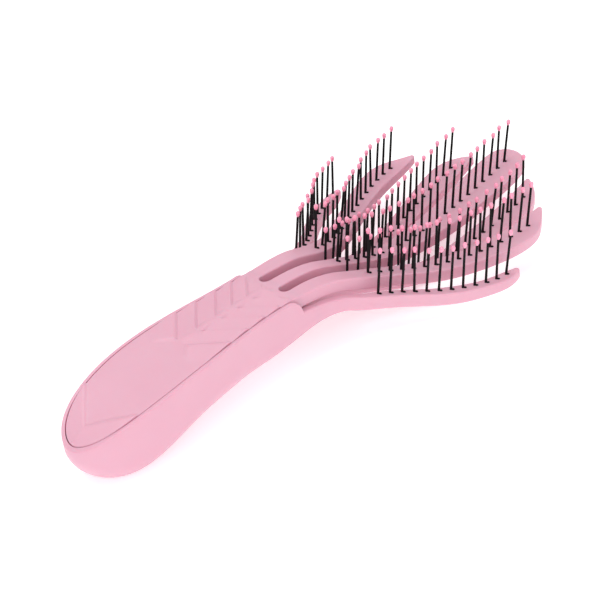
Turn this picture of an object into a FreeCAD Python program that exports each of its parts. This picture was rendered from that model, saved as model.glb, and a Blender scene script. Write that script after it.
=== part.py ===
"""Flexible seven-finger detangling hair brush, lying on its back.

+X runs from the butt of the handle to the fingertips, +Y is the brush's left, and the
bristles point up. The brush is the same on both sides of the plane y = 0. The origin is
under the middle of its bounding box, on the surface that it lies on. All sizes are in mm.
"""
import FreeCAD, Part
import math
import os

from FreeCAD import Vector

# ---- driving dimensions -----------------------------------------------------------------
overall_length = 232.0        # butt of the handle to the tip of the centre finger
handle_length = 92.0          # butt to the step where the shell's side walls end
neck_length = 30.0            # from there to the line where the fingers start to bend
handle_half_width = 17.3      # outside of the shell at its widest
handle_depth = 23.0           # top of the arch to the underside of the shell
head_half_width = 48.4        # outside of the outer fingers
rim_width = 1.5               # top of the shell's side wall, seen round the plate
ledge_width = 1.2             # step inside the rim that the plate sits on
seam_gap = 0.25               # between the plate and the rim
shell_wall = 2.2
bottom_round = 8.0            # long edges under the handle
panel_thickness = 2.6         # handle part of the top plate
upper_thickness = 5.4         # neck of the plate and its three fingers
lower_thickness = 5.6         # neck of the shell and its four fingers
tip_thickness = 3.4           # any finger at its tip
tip_round = 1.0               # side fingers' tips, seen from above
level_gap = 0.5               # between the plate's neck and the shell's neck
knuckle_clearance = 0.3       # round the bending line at each finger's root
root_slope = 24.0             # degrees that the neck drops where the fingers start
bristle_length = 17.0         # finger surface to the middle of the ball tip
bristle_diameter = 1.0
bristle_seat = 2.4            # how deep each bristle is set in its finger
bristle_lean = 9.5            # degrees, towards the fingertips
foot_diameter = 1.7           # small collar at the bottom of each bristle
foot_height = 0.45
ball_diameter = 1.9
post_diameter = 5.0           # round posts under the panel
socket_wall = 1.3             # round sockets on the shell's floor
post_clearance = 0.1
vein_height = 0.5             # raised midrib and side veins of the panel
vein_width = 1.6
vein_pitch = 8.2              # along the midrib
vein_pairs = 5
plate_slot_setback = 4.0      # from the shell's side walls to the slots in the plate's neck
shell_slot_setback = 9.0      # the same in the shell's neck
slot_narrowing = 1.1          # how much narrower a plate slot starts than the gap it opens into
centre_slot_width = 4.4       # the shell's middle slot, where it starts
side_slot_low = 2.0           # the shell's side slots start this much inside the gap's inner
side_slot_high = 3.4          # and outer edge
nose_length = 5.0             # rounded ends of the shell's side walls

Y_REACH = 80.0                # a band runs this far to both sides of the middle
Z_REACH = 60.0                # a prism runs this far up and down


def station(distance):
    """Turn a distance from the butt into an x coordinate."""
    return distance - overall_length / 2


butt_x = station(0)
shell_end_x = station(handle_length)
root_x = shell_end_x + neck_length
head_length = overall_length - handle_length - neck_length
drop = math.radians(root_slope)
root_direction = Vector(math.cos(drop), 0, -math.sin(drop))


# ---- curves, bands and prisms -----------------------------------------------------------
def curve(points, start=None, end=None):
    """A smooth curve through a few points, with its end directions where they matter."""
    spline = Part.BSplineCurve()
    if start:
        first = Vector(start).normalize()
        last = Vector(end).normalize()
        spline.interpolate(Points=points, InitialTangent=first, FinalTangent=last, Scale=False)
    else:
        spline.interpolate(points)
    return spline


def parallel(spline, distance_at, normal, count=13):
    """The curve beside another one, on the side that normal x direction points away from."""
    points = []
    for i in range(count):
        share = i / (count - 1)
        at = spline.FirstParameter + share * (spline.LastParameter - spline.FirstParameter)
        away = spline.tangent(at)[0].cross(normal)
        points.append(spline.value(at) + away * distance_at(share))
    return curve(points)


def below(spline, distance):
    """The curve at a constant distance under a side profile."""
    return parallel(spline, lambda share: distance, Vector(0, -1, 0))


def edge(start, end):
    return Part.LineSegment(start, end).toShape()


def closed(edges, offset, sweep):
    face = Part.Face(Part.Wire(edges))
    face.translate(offset)
    return face.extrude(sweep)


def band(edges):
    """A closed side profile, drawn across the whole width of the brush."""
    return closed(edges, Vector(0, -Y_REACH, 0), Vector(0, 2 * Y_REACH, 0))


def prism(edges):
    """A closed plan outline, drawn through the whole height of the brush."""
    return closed(edges, Vector(0, 0, -Z_REACH), Vector(0, 0, 2 * Z_REACH))


def box(x_low, x_high, y_half, z_low, z_high):
    corner = Vector(x_low, -y_half, z_low)
    return Part.makeBox(x_high - x_low, 2 * y_half, z_high - z_low, corner)


def lengthwise(shape, x_low, x_high):
    """The part of a shape between two planes across the brush."""
    return shape.common(box(x_low, x_high, Y_REACH, -Z_REACH, Z_REACH))


def mirrored(shape):
    return shape.mirror(Vector(0, 0, 0), Vector(0, 1, 0))


def one_solid(shape):
    solids = shape.removeSplitter().Solids
    if len(solids) != 1:
        raise ValueError("expected one solid, got %d" % len(solids))
    return solids[0]


def save(name, shapes):
    shape = shapes[0] if len(shapes) == 1 else Part.makeCompound(shapes)
    if not shape.isValid():
        raise ValueError(name + " is not valid")
    shape.exportStep("parts/%s.step" % name)
    print("%-26s solids %3d volume %9.1f" % (name, len(shape.Solids), shape.Volume))


# ---- side profiles of the handle and neck -----------------------------------------------
crest_z = 29.6                # top of the handle's arch
butt_top_z = 16.2             # top of the panel at the butt
butt_low_z = 6.0              # underside of the shell at the butt
upper_root = Vector(root_x, 0, 24.2)

handle_top = curve([
    Vector(butt_x, 0, butt_top_z),
    Vector(station(0.17 * handle_length), 0, crest_z - 6.0),
    Vector(station(0.42 * handle_length), 0, crest_z - 1.4),
    Vector(station(0.72 * handle_length), 0, crest_z),
    Vector(shell_end_x, 0, crest_z - 0.5),
    upper_root,
], Vector(1, 0, 0.8), root_direction)
neck_floor = below(handle_top, upper_thickness + level_gap)
lower_root = neck_floor.EndPoint
keel_root = lower_root + root_direction.cross(Vector(0, -1, 0)) * lower_thickness
keel = curve([
    Vector(butt_x, 0, butt_low_z),
    Vector(station(0.15 * handle_length), 0, 0.11),
    Vector(station(0.47 * handle_length), 0, crest_z - handle_depth),
    Vector(station(0.90 * handle_length), 0, crest_z - handle_depth + 4.0),
    keel_root,
], Vector(1, 0, -1), root_direction)


# ---- plan outlines of the handle --------------------------------------------------------
def handle_outline():
    """One side of the shell's outside, from the middle of the butt to the shell's end."""
    shares = [(0.0, 0.0), (0.035, 0.44), (0.12, 0.75), (0.26, 0.94),
              (0.45, 1.0), (0.72, 0.92), (1.0, 0.85)]
    points = [Vector(station(along * handle_length), across * handle_half_width, 0)
              for along, across in shares]
    return curve(points, Vector(0, 1, 0), Vector(1, 0.04, 0))


outside = handle_outline()


def handle_prism(inset):
    """The handle's plan outline, moved in by a distance and open towards the head."""
    side = outside if inset == 0 else parallel(outside, lambda s: inset, Vector(0, 0, 1))
    start = Vector(side.StartPoint.x, 0, 0)
    end = Vector(side.EndPoint.x, 0, 0)
    half = prism([side.toShape(), edge(side.EndPoint, end), edge(end, start)])
    return half.fuse(mirrored(half)).removeSplitter()


def under(spline, depth):
    """Everything from a side profile down to a depth below its lowest end."""
    low = min(spline.StartPoint.z, spline.EndPoint.z) - depth
    a = Vector(spline.StartPoint.x, 0, low)
    b = Vector(spline.EndPoint.x, 0, low)
    return band([spline.toShape(), edge(spline.EndPoint, b), edge(b, a),
                 edge(a, spline.StartPoint)])


def over(spline, height):
    """Everything from a side profile up to a height above its highest end."""
    return under(spline, -height)


def layer(upper, lower):
    """Everything between two side profiles."""
    return band([upper.toShape(), edge(upper.EndPoint, lower.EndPoint), lower.toShape(),
                 edge(lower.StartPoint, upper.StartPoint)])


# ---- the fingers ------------------------------------------------------------------------
# Each finger is drawn on the brush's left, as distances past the root line and out from the
# middle, on a head of the size below. Heights are along its own centre line.
DRAWN_LENGTH = 110.0
DRAWN_HALF_WIDTH = 48.4
along_share = head_length / DRAWN_LENGTH
across_share = head_half_width / DRAWN_HALF_WIDTH


def to_size(pairs):
    """Plan points on the drawn head, moved to where they are on the real one."""
    return [Vector(root_x + x * along_share, y * across_share, 0) for x, y in pairs]


class Finger:
    """One finger's plan edges, tip, side profile and row of bristles, at the real size.

    The row has its first and last bristle at given distances, and a count of them.
    """

    def __init__(self, name, level, inner, outer, tip, heights, row, bristles):
        self.name = name
        self.level = level
        self.inner = to_size(inner) if inner else None
        self.outer = to_size(outer)
        self.tip = to_size([tip[:2]])[0]
        self.heights = [Vector(root_x + x * along_share, 0, z) for x, z in heights]
        self.heights.append(Vector(self.tip.x, 0, tip[2]))
        self.row = to_size(row)
        self.first_x, self.last_x = [root_x + x * along_share for x in bristles[:2]]
        self.count = bristles[2]


FINGERS = [
    Finger("centre", "upper",
           inner=None,
           outer=[(0, 3.0), (23, 3.9), (45, 5.3), (65, 7.1), (83, 8.5), (99, 9.2), (107, 7.2)],
           tip=(DRAWN_LENGTH, 0.0, 18.4),
           heights=[(13, 18.6), (27, 13.2), (45, 10.4), (67, 10.9), (89, 14.0)],
           row=[(6, 0.0), (107, 0.0)],
           bristles=(7.3, 102.9, 22)),
    Finger("inner", "lower",
           inner=[(0, 3.7), (23, 6.3), (45, 9.5), (65, 11.8), (83, 13.1)],
           outer=[(0, 7.5), (23, 12.0), (45, 17.6), (65, 22.2), (81, 25.1), (90, 24.8),
                  (96.4, 20.8)],
           tip=(101.0, 13.7, 15.4),
           heights=[(15, 12.3), (31, 7.4), (47, 5.4), (67, 7.5), (85, 11.0)],
           row=[(0, 4.6), (5, 5.5), (24, 9.3), (41, 12.7), (59, 16.1), (73, 17.9), (92, 18.9)],
           bristles=(6.0, 91.3, 20)),
    Finger("middle", "upper",
           inner=[(0, 8.3), (17, 11.6), (34, 18.8), (51, 26.2), (63, 29.4), (75, 31.0)],
           outer=[(0, 16.0), (17, 20.0), (34, 28.7), (51, 36.9), (63, 41.2), (73, 41.4),
                  (81, 37.0)],
           tip=(87.0, 32.3, 17.4),
           heights=[(17, 17.8), (33, 14.2), (49, 13.7), (67, 14.8)],
           row=[(0, 12.0), (8, 13.3), (17, 15.7), (34, 23.4), (51, 30.8), (65, 34.8), (75, 35.8)],
           bristles=(9.5, 73.6, 16)),
    Finger("outer", "lower",
           inner=[(0, 16.9), (8, 20.2), (17, 25.0), (30, 34.4), (42, 40.9), (50, 43.4)],
           outer=[(0, 21.2), (8, 25.5), (17, 31.0), (30, 40.7), (42, 46.4),
                  (50, DRAWN_HALF_WIDTH)],
           tip=(56.8, 47.0, 11.4),
           heights=[(11, 15.0), (22, 12.3), (37, 10.8)],
           row=[(0, 18.6), (7, 21.9), (17, 27.6), (30, 37.1), (42, 43.3), (52, 45.5)],
           bristles=(6.1, 49.8, 12)),
]
TIP_RISE = 0.3                # slope of each finger's top at its tip


def finger_profile(finger):
    """The finger's top and underside, from the bending line to the tip."""
    root = upper_root if finger.level == "upper" else lower_root
    full = upper_thickness if finger.level == "upper" else lower_thickness
    top = curve([root] + finger.heights, root_direction, Vector(1, 0, TIP_RISE))
    bottom = parallel(top, lambda s: full - (full - tip_thickness) * s ** 3, Vector(0, -1, 0))
    return top, bottom


def knuckle(top, bottom):
    """The bending line: its place, seen from the side, and the radius of the root's end."""
    middle = (top.StartPoint + bottom.StartPoint) * 0.5
    return middle, top.StartPoint.distanceToPoint(bottom.StartPoint) / 2


def finger_solid(finger, top, bottom):
    middle, radius = knuckle(top, bottom)
    back = middle - root_direction * radius
    round_end = Part.Arc(bottom.StartPoint, back, top.StartPoint).toShape()
    side = band([top.toShape(), edge(top.EndPoint, bottom.EndPoint), bottom.toShape(),
                 round_end])
    return one_solid(side.common(finger_plan(finger, middle.x - 2 * radius)))


def finger_plan(finger, start_x):
    """The finger's plan, with straight sides from a line behind its root to the root."""
    def behind(points):
        return Vector(start_x, points[0].y, 0)

    tip = finger.tip
    out_edge = edge(behind(finger.outer), finger.outer[0])
    if finger.inner is None:
        outer = curve(finger.outer + [tip], Vector(1, 0.03, 0), Vector(0, -1, 0)).toShape()
        corner = Vector(start_x, 0, 0)
        half = prism([out_edge, outer, edge(tip, corner), edge(corner, behind(finger.outer))])
        return half.fuse(mirrored(half)).removeSplitter()
    outer = curve(finger.outer + [tip]).toShape()
    inner = curve(finger.inner + [tip]).toShape()
    in_edge = edge(behind(finger.inner), finger.inner[0])
    across = edge(behind(finger.inner), behind(finger.outer))
    plan = prism([in_edge, inner, outer, out_edge, across])
    sharp = [e for e in plan.Edges if abs(e.BoundBox.XMin - tip.x) < 0.01]
    return plan.makeFillet(tip_round, sharp)


# ---- bristles ---------------------------------------------------------------------------
lean = math.radians(bristle_lean)
lean_direction = Vector(math.sin(lean), 0, math.cos(lean))


def parameter_at(line, x):
    """Where a curve that runs along the brush crosses a given x."""
    low, high = line.FirstParameter, line.LastParameter
    for step in range(40):
        middle = (low + high) / 2
        if line.value(middle).x < x:
            low = middle
        else:
            high = middle
    return low


def height_at(profile, x):
    return profile.value(parameter_at(profile, x)).z


def distance_along(line, x):
    return line.length(line.FirstParameter, parameter_at(line, x))


def bristle_feet(finger, top):
    """Places on the finger's top where its bristles stand, evenly spaced along the row."""
    line = curve(finger.row)
    start = distance_along(line, finger.first_x)
    pitch = (distance_along(line, finger.last_x) - start) / (finger.count - 1)
    feet = []
    for i in range(finger.count):
        place = line.value(line.parameterAtDistance(start + i * pitch, line.FirstParameter))
        feet.append(Vector(place.x, place.y, height_at(top, place.x)))
    return feet


def rod(foot, radius, low, high):
    return Part.makeCylinder(radius, high - low, foot + lean_direction * low, lean_direction)


def bristle(foot, body):
    """One bristle with its collar, which stops at the finger's surface."""
    stem = rod(foot, bristle_diameter / 2, -bristle_seat, bristle_length)
    collar = rod(foot, foot_diameter / 2, -foot_height, foot_height).cut(body)
    return one_solid(stem.fuse(collar.Solids))


def ball(foot):
    centre = foot + lean_direction * bristle_length
    tip = Part.makeSphere(ball_diameter / 2, centre)
    return one_solid(tip.cut(rod(foot, bristle_diameter / 2, 0, bristle_length)))


def make_finger(finger):
    """The finger with holes for its bristles, then its bristles, then their ball tips."""
    top, bottom = finger_profile(finger)
    body = finger_solid(finger, top, bottom)
    feet = bristle_feet(finger, top)
    holes = [rod(foot, bristle_diameter / 2, -bristle_seat, 3) for foot in feet]
    bristles = [bristle(foot, body) for foot in feet]
    return one_solid(body.cut(holes)), bristles, [ball(foot) for foot in feet]


# ---- necks ------------------------------------------------------------------------------
slot_start_x = shell_end_x + plate_slot_setback
back_slot_start_x = shell_end_x + shell_slot_setback
flare = 7.0                   # length over which a slot widens to the finger gap
straight = 5.0                # even stretch of each finger root behind the bending line
PLATE_NECK_HOLLOW = 0.6       # how far the plate's neck curves in between its ends


def slot(start_x, low, high, root_low, root_high):
    """A slot with a round end, which widens to the gap between two finger roots."""
    corner_x = start_x + (high - low) / 2
    flare_x = root_x - straight - flare
    even_x = root_x - straight
    end_x = root_x + straight
    path = [(corner_x, high), (flare_x, high), (even_x, root_high), (end_x, root_high),
            (end_x, root_low), (even_x, root_low), (flare_x, low), (corner_x, low)]
    points = [Vector(x, y, 0) for x, y in path]
    sides = [edge(a, b) for a, b in zip(points, points[1:])]
    round_end = Part.Arc(points[-1], Vector(start_x, (low + high) / 2, 0), points[0])
    return prism(sides + [round_end.toShape()])


def neck_prism(shell_y, root_y, hollow):
    """Plan of a neck: from the shell's end, widening to the outermost finger root."""
    half_way = Vector((shell_end_x + root_x) / 2, (shell_y + root_y) / 2 - hollow, 0)
    a = Vector(shell_end_x, shell_y, 0)
    b = Vector(root_x - straight, root_y, 0)
    c = Vector(root_x + straight, root_y, 0)
    side = curve([a, half_way, b])
    d = Vector(c.x, 0, 0)
    e = Vector(a.x, 0, 0)
    half = prism([side.toShape(), edge(b, c), edge(c, d), edge(d, e), edge(e, a)])
    return half.fuse(mirrored(half)).removeSplitter()


def root_of(name):
    """Inner and outer edge of one finger where it leaves the neck."""
    finger = [f for f in FINGERS if f.name == name][0]
    outer_y = finger.outer[0].y
    inner_y = finger.inner[0].y if finger.inner else -outer_y
    return inner_y, outer_y


def knuckle_hollow(top_root, thickness):
    """The round hollow across the neck that the finger roots turn in."""
    middle = top_root + root_direction.cross(Vector(0, -1, 0)) * (thickness / 2)
    start = middle - Vector(0, Y_REACH, 0)
    radius = thickness / 2 + knuckle_clearance
    return Part.makeCylinder(radius, 2 * Y_REACH, start, Vector(0, 1, 0))


# ---- top plate: the handle's panel and the neck of the three upper fingers ---------------
plate_inset = rim_width + seam_gap
socket_depth = 4.0
POST_STATIONS = [0.16 * handle_length, 0.48 * handle_length, 0.80 * handle_length]
post_top_x = [station(distance) for distance in POST_STATIONS]


def floor_z(x):
    """Inside floor of the handle shell."""
    return height_at(keel, x) + shell_wall


def vein(start, finish):
    """Plan of one raised line of the leaf pattern."""
    along = (finish - start).normalize()
    side = Vector(-along.y, along.x, 0) * (vein_width / 2)
    corners = [start + side, finish + side, finish - side, start - side]
    return prism([edge(a, b) for a, b in zip(corners, corners[1:] + corners[:1])])


def leaf_veins():
    """A midrib with pairs of side veins that slant towards the head."""
    first_x = station(0.56 * handle_length)
    reach = 0.55 * handle_half_width
    lines = [vein(Vector(first_x, 0, 0), Vector(slot_start_x, 0, 0))]
    for i in range(vein_pairs):
        x = first_x + (i + 0.4) * vein_pitch
        lines.append(vein(Vector(x, 0, 0), Vector(x + reach, reach, 0)))
        lines.append(vein(Vector(x, 0, 0), Vector(x + reach, -reach, 0)))
    crest = parallel(handle_top, lambda s: -vein_height, Vector(0, -1, 0))
    skin = layer(crest, below(handle_top, 0.2))
    return [line.common(skin) for line in lines]


def make_top_plate():
    shell_end_y = outside.EndPoint.y - plate_inset
    panel = handle_prism(plate_inset).common(layer(handle_top, below(handle_top, panel_thickness)))
    neck = neck_prism(shell_end_y, root_of("middle")[1], PLATE_NECK_HOLLOW)
    neck = neck.common(layer(handle_top, below(handle_top, upper_thickness)))
    low, high = root_of("centre")[1], root_of("middle")[0]
    gap = slot(slot_start_x, low, high - slot_narrowing, low, high)
    plate = panel.fuse(neck).cut([gap, mirrored(gap)])
    plate = plate.cut(knuckle_hollow(upper_root, upper_thickness))
    posts = []
    for x in post_top_x:
        foot_z = floor_z(x) + 0.6
        height = height_at(handle_top, x) - panel_thickness / 2 - foot_z
        posts.append(Part.makeCylinder(post_diameter / 2, height, Vector(x, 0, foot_z)))
    return one_solid(plate.fuse(posts + leaf_veins()))


# ---- back shell: the handle's tub and the neck of the four lower fingers -----------------
def rounded_tub(inset, top, bottom, radius):
    """The handle's plan between two side profiles, with its long lower edges rounded."""
    tub = handle_prism(inset).common(layer(top, bottom))
    lowest = [e for e in tub.Edges if on_profile(e, bottom) and e.BoundBox.XLength > 20]
    return tub.makeFillet(radius, lowest)


def on_profile(e, profile):
    """Whether an edge of a solid lies on a side profile, away from the middle plane."""
    for share in (0.1, 0.5, 0.9):
        point = e.valueAt(e.FirstParameter + share * (e.LastParameter - e.FirstParameter))
        if abs(point.z - height_at(profile, point.x)) > 0.05 or abs(point.y) < 0.01:
            return False
    return True


def nose():
    """The rounded ends of the shell's side walls, beside the plate's neck."""
    top_z = height_at(handle_top, shell_end_x)
    low_z = height_at(neck_floor, shell_end_x + nose_length) - 0.5
    a = Vector(shell_end_x, 0, top_z)
    b = Vector(shell_end_x + nose_length, 0, low_z)
    c = Vector(shell_end_x, 0, low_z)
    bend = math.sqrt(0.5)
    middle = Vector(a.x + nose_length * bend, 0, low_z + (top_z - low_z) * bend)
    return band([Part.Arc(a, middle, b).toShape(), edge(b, c), edge(c, a)])


def make_back_shell():
    tub = rounded_tub(0, handle_top, keel, bottom_round)
    inset = rim_width + ledge_width
    inner_floor = parallel(keel, lambda s: -shell_wall, Vector(0, -1, 0))
    lid_line = below(handle_top, panel_thickness)
    hollow = rounded_tub(inset, lid_line, inner_floor, bottom_round - shell_wall)
    hollow = lengthwise(hollow, butt_x, shell_end_x - 3)
    seat = handle_prism(rim_width).common(over(lid_line, 20))
    tub = tub.cut([hollow, seat])

    outer = neck_prism(outside.EndPoint.y, root_of("outer")[1], 2 * PLATE_NECK_HOLLOW)
    shoulder = outer.common(nose())
    middle_y = root_of("middle")[1]
    plate_space = neck_prism(outside.EndPoint.y - rim_width, middle_y + seam_gap, PLATE_NECK_HOLLOW)
    shoulder = shoulder.cut(plate_space)
    neck = outer.common(layer(neck_floor, keel))
    half_slot = centre_slot_width / 2
    inner_y = root_of("inner")[0]
    centre_gap = slot(back_slot_start_x, -half_slot, half_slot, -inner_y, inner_y)
    low, high = root_of("inner")[1], root_of("outer")[0]
    side_gap = slot(back_slot_start_x, low + side_slot_low, high - side_slot_high, low, high)
    neck = neck.cut([centre_gap, side_gap, mirrored(side_gap)])
    neck = neck.cut(knuckle_hollow(lower_root, lower_thickness))
    sockets = []
    for x in post_top_x:
        low_z = floor_z(x) - shell_wall / 2
        height = shell_wall / 2 + socket_depth
        bore = post_diameter / 2 + post_clearance
        ring = Part.makeCylinder(bore + socket_wall, height, Vector(x, 0, low_z))
        hole = Part.makeCylinder(bore, height, Vector(x, 0, floor_z(x)))
        sockets.append(ring.cut(hole))
    return one_solid(tub.fuse([neck, shoulder] + sockets))


# ---- build ------------------------------------------------------------------------------
os.makedirs("parts", exist_ok=True)
save("handle_top_plate", [make_top_plate()])
save("handle_back_shell", [make_back_shell()])
for finger in FINGERS:
    body, bristles, balls = make_finger(finger)
    if finger.inner is None:
        sides = [("centre", lambda shape: shape)]
    else:
        sides = [("left_" + finger.name, lambda shape: shape),
                 ("right_" + finger.name, mirrored)]
    for name, placed in sides:
        save(name + "_finger", [placed(body)])
        save(name + "_bristles", [placed(shape) for shape in bristles])
        save(name + "_ball_tips", [placed(shape) for shape in balls])
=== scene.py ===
"""Flexible seven-finger detangling brush: moulded handle, fingers, bristles and ball tips."""
import math

import bmesh
import bpy
import numpy as np
from bpy.props import FloatProperty, FloatVectorProperty, IntProperty, PointerProperty
from mathutils import Matrix, Vector
from mathutils.geometry import delaunay_2d_cdt


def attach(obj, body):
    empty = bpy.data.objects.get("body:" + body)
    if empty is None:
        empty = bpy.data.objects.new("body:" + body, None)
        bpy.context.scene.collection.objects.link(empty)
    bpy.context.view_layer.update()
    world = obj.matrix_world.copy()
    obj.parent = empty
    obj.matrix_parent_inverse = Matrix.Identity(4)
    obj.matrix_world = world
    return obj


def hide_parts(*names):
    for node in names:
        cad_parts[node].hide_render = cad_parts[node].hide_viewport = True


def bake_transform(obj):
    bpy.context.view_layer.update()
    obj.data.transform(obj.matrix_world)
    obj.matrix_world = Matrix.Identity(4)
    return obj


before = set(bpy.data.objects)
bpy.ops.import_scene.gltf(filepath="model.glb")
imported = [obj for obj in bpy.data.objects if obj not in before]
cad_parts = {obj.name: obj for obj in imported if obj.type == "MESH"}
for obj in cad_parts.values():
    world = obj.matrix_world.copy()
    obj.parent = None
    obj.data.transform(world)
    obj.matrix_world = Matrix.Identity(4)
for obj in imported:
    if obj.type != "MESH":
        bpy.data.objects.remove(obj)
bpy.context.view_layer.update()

bl_info = {
    "name": "Flexible Detangling Brush",
    "version": (1, 0, 0),
    "blender": (4, 5, 0),
    "location": "3D View > Sidebar > Detangling Brush",
    "description": "Builds a seven-finger detangling hair brush on its jointed frame",
    "category": "Add Mesh",
}

# ---- sizes shared with the frame, in millimetres -----------------------------------------
MM = 0.001
BUTT_X = -116.0               # end of the handle
SHELL_END_X = -24.0           # where the back shell's side walls stop
NOSE_LENGTH = 5.0             # rounded end of those walls
ROOT_X = 6.0                  # line where the fingers start to bend
PLATE_CUT_X = -17.9           # the plate's three strips belong to its fingers from here on
SHELL_CUT_X = -12.8           # and the shell's four strips from here on
RUN_ON = 8.0                  # how far a moulding is drawn past its cut before it is cut
LEAD_IN = 5.0                 # and a finger strip before its cut
HANDLE_LENGTH = 92.0
HANDLE_HALF_WIDTH = 17.3
RIM_WIDTH = 1.5
PANEL_THICKNESS = 2.6
UPPER_THICKNESS = 5.4
LOWER_THICKNESS = 5.6
TIP_THICKNESS = 3.4
LEVEL_GAP = 0.5
BOTTOM_ROUND = 8.0
NECK_ROUND = 0.9              # lower edges of the shell's neck
ROUND_START_X = -20.0         # the lower edges grow from there to the handle's full round
ROUND_GROWTH = 30.0           # over this length
SLOT_INNER_Y = 3.0            # side of the plate's slots that is nearer the middle
BRISTLE_PITCH = 4.55
SHARP_ANGLE = math.radians(42)
ROOT_SLOPE = math.radians(24.0)
ROOT_DIRECTION = np.array([math.cos(ROOT_SLOPE), -math.sin(ROOT_SLOPE)])


# ---- smooth curves in a plane ------------------------------------------------------------
def smooth(points, start=None, end=None, step=0.4):
    """Points along a smooth curve through a few given ones, about one step apart."""
    p = np.array(points, float)
    gaps = np.linalg.norm(np.diff(p, axis=0), axis=1)
    knots = np.concatenate([[0.0], np.cumsum(gaps)])
    count = len(p)
    matrix = np.zeros((count, count))
    right = np.zeros_like(p)
    for i in range(1, count - 1):
        before, after = gaps[i - 1], gaps[i]
        matrix[i, i - 1:i + 2] = after, 2 * (before + after), before
        right[i] = 3 * (after * (p[i] - p[i - 1]) / before + before * (p[i + 1] - p[i]) / after)
    for row, near, given in ((0, 1, start), (count - 1, count - 2, end)):
        matrix[row, row] = 1.0
        if given is None:
            matrix[row, near] = 1.0
            right[row] = 2 * (p[near] - p[row]) / (knots[near] - knots[row])
        else:
            right[row] = np.array(given) / np.linalg.norm(given)
    slopes = np.linalg.solve(matrix, right)
    at = np.linspace(0.0, knots[-1], max(3, int(knots[-1] / step) + 1))
    span = np.clip(np.searchsorted(knots, at, side="right") - 1, 0, count - 2)
    gap = gaps[span][:, None]
    t = ((at - knots[span])[:, None]) / gap
    a, b, u, v = p[span], p[span + 1], slopes[span], slopes[span + 1]
    return (a * (1 + 2 * t) * (1 - t) ** 2 + gap * u * t * (1 - t) ** 2
            + b * t * t * (3 - 2 * t) + gap * v * t * t * (t - 1))


def left_normals(line, closed=False):
    """The direction to the left of travel at each point, long enough to keep an even offset."""
    ahead = np.roll(line, -1, axis=0) - line
    if not closed:
        ahead[-1] = ahead[-2]
    ahead /= np.linalg.norm(ahead, axis=1)[:, None]
    behind = np.roll(ahead, 1, axis=0)
    if not closed:
        behind[0] = ahead[0]
    total = np.stack([-ahead[:, 1] - behind[:, 1], ahead[:, 0] + behind[:, 0]], axis=1)
    return total / (1 + (ahead * behind).sum(axis=1))[:, None]


def beside(line, distance):
    """The line moved to its left by a distance, which may change along it."""
    return line + left_normals(line) * np.reshape(distance, (-1, 1))


def mirrored(line):
    return line * np.array([1.0, -1.0])


def height_of(line):
    """A function from x to height, from a side profile given as points."""
    order = np.argsort(line[:, 0])
    x, z = line[order, 0], line[order, 1]
    return lambda at: np.interp(at, x, z)


def stretch(line, low, high):
    """The part of a plan edge between two x positions."""
    rows = line[(line[:, 0] > low + 0.05) & (line[:, 0] < high - 0.05)]
    side = height_of(line)
    return np.vstack([[low, side(low)], rows, [high, side(high)]])


def arc(centre, radius, first, last, count=13):
    """Points round part of a circle, between two angles in degrees."""
    angles = np.radians(np.linspace(first, last, count))
    return np.array(centre) + radius * np.stack([np.cos(angles), np.sin(angles)], axis=1)


def ease(share):
    share = np.clip(share, 0.0, 1.0)
    return share * share * (3 - 2 * share)


# ---- side profiles of the handle and neck, as x and height -------------------------------
handle_top = smooth([(BUTT_X, 16.2), (-100.36, 23.6), (-77.36, 28.2), (-49.76, 29.6),
                     (SHELL_END_X, 29.1), (ROOT_X, 24.2)], (1, 0.8), ROOT_DIRECTION)
neck_floor = beside(handle_top, -(UPPER_THICKNESS + LEVEL_GAP))
lower_root = neck_floor[-1]
keel_root = lower_root + np.array([ROOT_DIRECTION[1], -ROOT_DIRECTION[0]]) * LOWER_THICKNESS
keel = smooth([(BUTT_X, 6.0), (-102.2, 0.11), (-72.76, 6.6), (-33.2, 10.6), keel_root],
              (1, -1), ROOT_DIRECTION)
top_z = height_of(handle_top)
neck_floor_z = height_of(neck_floor)
keel_z = height_of(keel)

# ---- plan edges, as x and distance out from the middle -----------------------------------
HANDLE_SHARES = [(0.0, 0.0), (0.035, 0.44), (0.12, 0.75), (0.26, 0.94), (0.45, 1.0),
                 (0.72, 0.92), (1.0, 0.85)]
handle_edge = smooth([(BUTT_X + along * HANDLE_LENGTH, across * HANDLE_HALF_WIDTH)
                      for along, across in HANDLE_SHARES], (0, 1), (1, 0.04))


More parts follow.
